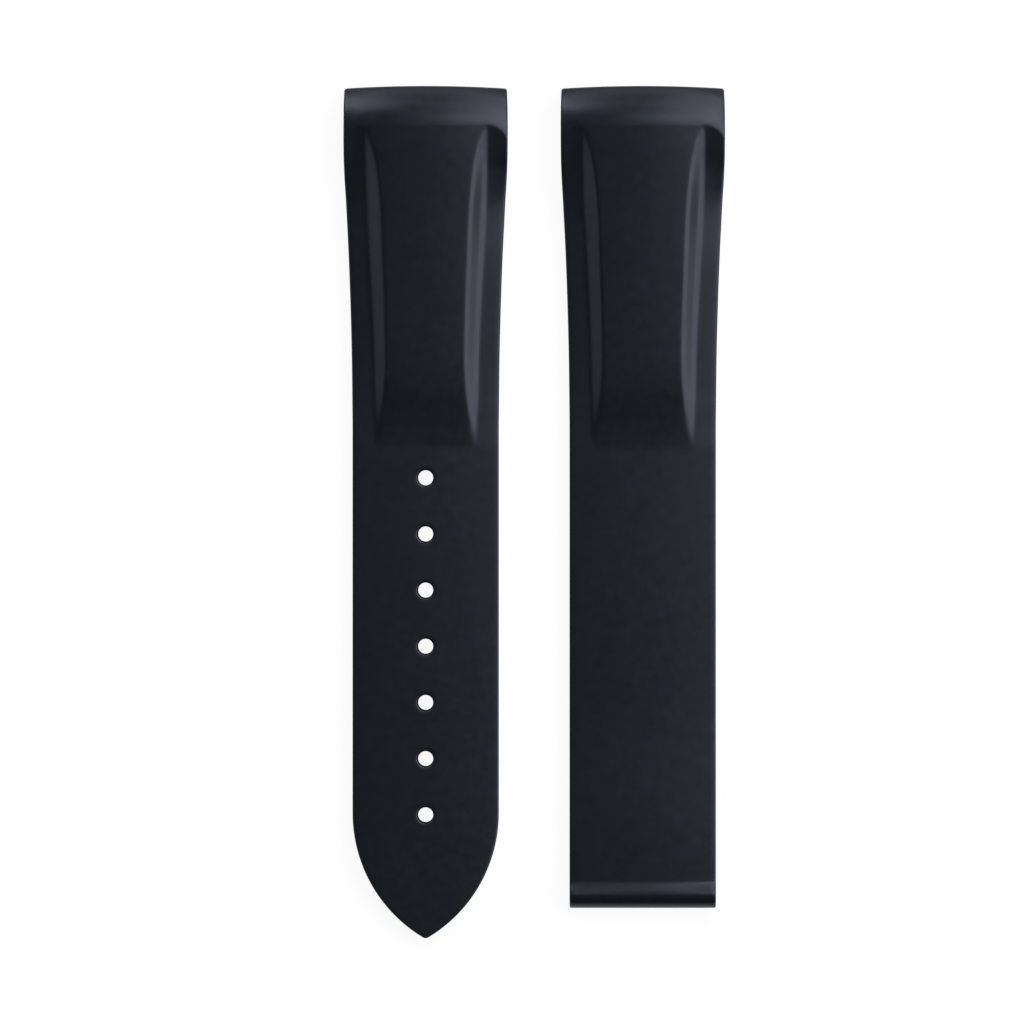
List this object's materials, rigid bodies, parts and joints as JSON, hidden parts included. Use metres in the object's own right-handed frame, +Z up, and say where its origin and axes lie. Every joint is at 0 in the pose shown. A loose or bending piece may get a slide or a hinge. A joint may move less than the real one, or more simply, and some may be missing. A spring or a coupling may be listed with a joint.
{
  "type": "rubber dive strap",
  "caption": "Two-piece moulded rubber watch strap with side scoops, a holed pointed tail half, a barrel-ended clasp half and sprung bars in both lug ends.",
  "frame": {"origin": "middle of the pair in plan, on the surface that both undersides rest on", "axes": "+X across the straps from the tail half to the clasp half, +Y along them to the lug ends, +Z up with the outer side up"},
  "size_m": [0.047, 0.1048, 0.0048],
  "materials": {
    "strap_rubber": "satin moulded black rubber with a fine matt grain",
    "liner_steel": "drawn stainless tube",
    "bar_steel": "turned stainless",
    "spring_steel": "drawn spring wire"
  },
  "bodies": {
    "tail_half": {"tail_strap": "strap_rubber", "tail_lug_liner": "liner_steel"},
    "clasp_half": {"clasp_strap": "strap_rubber", "clasp_lug_liner": "liner_steel", "clasp_end_liner": "liner_steel"},
    "tail_lug_bar": {"tail_lug_bar_tube": "bar_steel", "tail_lug_bar_spring": "spring_steel"},
    "tail_lug_pin_left": {"tail_lug_bar_pin_left": "bar_steel"},
    "tail_lug_pin_right": {"tail_lug_bar_pin_right": "bar_steel"},
    "clasp_lug_bar": {"clasp_lug_bar_tube": "bar_steel", "clasp_lug_bar_spring": "spring_steel"},
    "clasp_lug_pin_left": {"clasp_lug_bar_pin_left": "bar_steel"},
    "clasp_lug_pin_right": {"clasp_lug_bar_pin_right": "bar_steel"},
    "clasp_end_bar": {"clasp_end_bar_tube": "bar_steel", "clasp_end_bar_spring": "spring_steel"},
    "clasp_end_pin_left": {"clasp_end_bar_pin_left": "bar_steel"},
    "clasp_end_pin_right": {"clasp_end_bar_pin_right": "bar_steel"}
  },
  "joints": [
    {"name": "clasp_half_lift", "type": "slide", "parent": "tail_half", "child": "clasp_half", "axis": [0, 0, 1], "range_m": [0, 0.03]},
    {"name": "tail_lug_bar_turn", "type": "hinge", "parent": "tail_half", "child": "tail_lug_bar", "pos_m": [-0.01335, 0.05005, 0.0018], "axis": [1, 0, 0], "continuous": true},
    {"name": "tail_lug_pin_left_slide", "type": "slide", "parent": "tail_lug_bar", "child": "tail_lug_pin_left", "axis": [-1, 0, 0], "range_m": [0, 0.0009], "stiffness_N_per_m": 400, "springref_m": 0.0009, "deforming": ["tail_lug_bar_spring"]},
    {"name": "tail_lug_pin_right_slide", "type": "slide", "parent": "tail_lug_bar", "child": "tail_lug_pin_right", "axis": [1, 0, 0], "range_m": [0, 0.0009], "stiffness_N_per_m": 400, "springref_m": 0.0009, "deforming": ["tail_lug_bar_spring"]},
    {"name": "clasp_lug_bar_turn", "type": "hinge", "parent": "clasp_half", "child": "clasp_lug_bar", "pos_m": [0.01335, 0.05005, 0.0018], "axis": [1, 0, 0], "continuous": true},
    {"name": "clasp_lug_pin_left_slide", "type": "slide", "parent": "clasp_lug_bar", "child": "clasp_lug_pin_left", "axis": [-1, 0, 0], "range_m": [0, 0.0009], "stiffness_N_per_m": 400, "springref_m": 0.0009, "deforming": ["clasp_lug_bar_spring"]},
    {"name": "clasp_lug_pin_right_slide", "type": "slide", "parent": "clasp_lug_bar", "child": "clasp_lug_pin_right", "axis": [1, 0, 0], "range_m": [0, 0.0009], "stiffness_N_per_m": 400, "springref_m": 0.0009, "deforming": ["clasp_lug_bar_spring"]},
    {"name": "clasp_end_bar_turn", "type": "hinge", "parent": "clasp_half", "child": "clasp_end_bar", "pos_m": [0.01335, -0.0471, 0.0016], "axis": [1, 0, 0], "continuous": true},
    {"name": "clasp_end_pin_left_slide", "type": "slide", "parent": "clasp_end_bar", "child": "clasp_end_pin_left", "axis": [-1, 0, 0], "range_m": [0, 0.0009], "stiffness_N_per_m": 400, "springref_m": 0.0009, "deforming": ["clasp_end_bar_spring"]},
    {"name": "clasp_end_pin_right_slide", "type": "slide", "parent": "clasp_end_bar", "child": "clasp_end_pin_right", "axis": [1, 0, 0], "range_m": [0, 0.0009], "stiffness_N_per_m": 400, "springref_m": 0.0009, "deforming": ["clasp_end_bar_spring"]}
  ]
}
